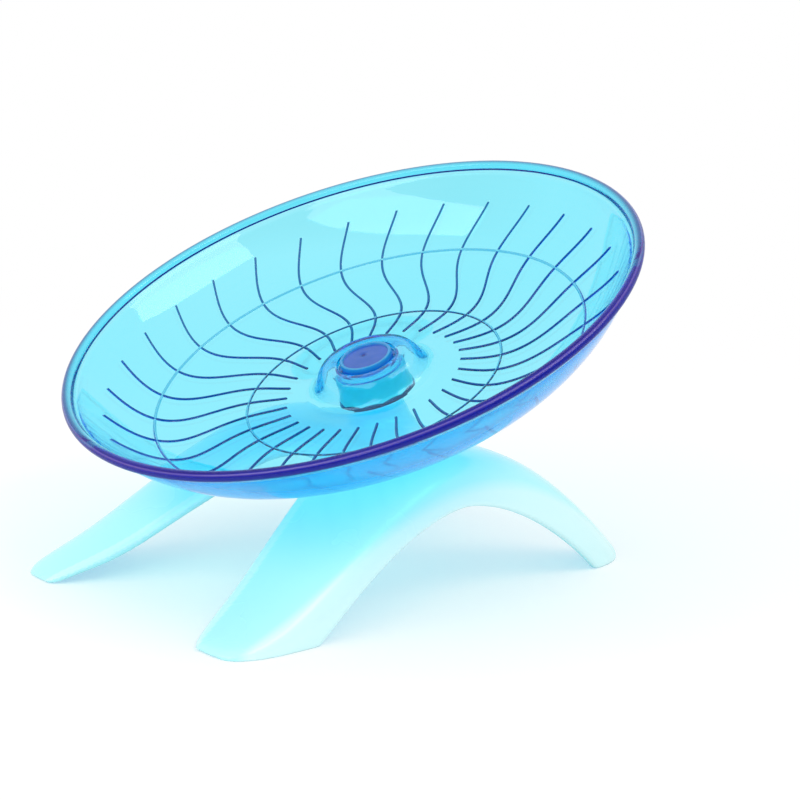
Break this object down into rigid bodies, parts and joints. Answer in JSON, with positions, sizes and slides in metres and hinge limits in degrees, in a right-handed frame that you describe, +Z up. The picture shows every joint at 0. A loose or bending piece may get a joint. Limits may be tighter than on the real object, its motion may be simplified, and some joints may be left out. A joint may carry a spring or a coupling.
{
  "type": "flying saucer wheel",
  "caption": "Small-pet running wheel: a tilted clear dish with S-shaped ribs and a capped hub turns freely on a ball bearing, on a moulded arched stand with splayed feet.",
  "frame": {"origin": "on the floor, at the centre of the bounding box, straight under the middle of the rim", "axes": "+Z up; the dish leans towards -Y, so its low side faces -Y and its high side +Y; +X is the right-hand side seen from the low side"},
  "size_m": [0.18, 0.165, 0.12],
  "materials": {
    "stand": "smooth milky aqua",
    "dish": "polished clear cyan",
    "cap": "polished clear indigo blue",
    "steel": "ground",
    "ball": "polished",
    "cage": "pressed"
  },
  "bodies": {
    "base": {"stand": "stand", "axle_screw": "steel", "screw_washer": "steel", "bearing_inner_ring": "steel"},
    "saucer": {"saucer_dish": "dish", "hub_cap": "cap", "bearing_outer_ring": "steel", "bearing_shield_upper": "steel", "bearing_shield_lower": "steel", "snap_ring_upper": "steel", "snap_ring_lower": "steel"},
    "cage": {"ball_cage_upper": "cage", "ball_cage_lower": "cage", "ball_1": "ball", "ball_2": "ball", "ball_3": "ball", "ball_4": "ball", "ball_5": "ball", "ball_6": "ball", "ball_7": "ball"}
  },
  "joints": [
    {"name": "saucer_spin", "type": "hinge", "parent": "base", "child": "saucer", "pos_m": [0, 0, 0.08114], "axis": [0, -0.4226, 0.9063], "continuous": true},
    {"name": "cage_turn", "type": "hinge", "parent": "base", "child": "cage", "pos_m": [0, 0, 0.08114], "axis": [0, -0.4226, 0.9063], "continuous": true}
  ],
  "couplings": [
    {"joint": "cage_turn", "follows": "saucer_spin", "ratio": 0.6149}
  ]
}
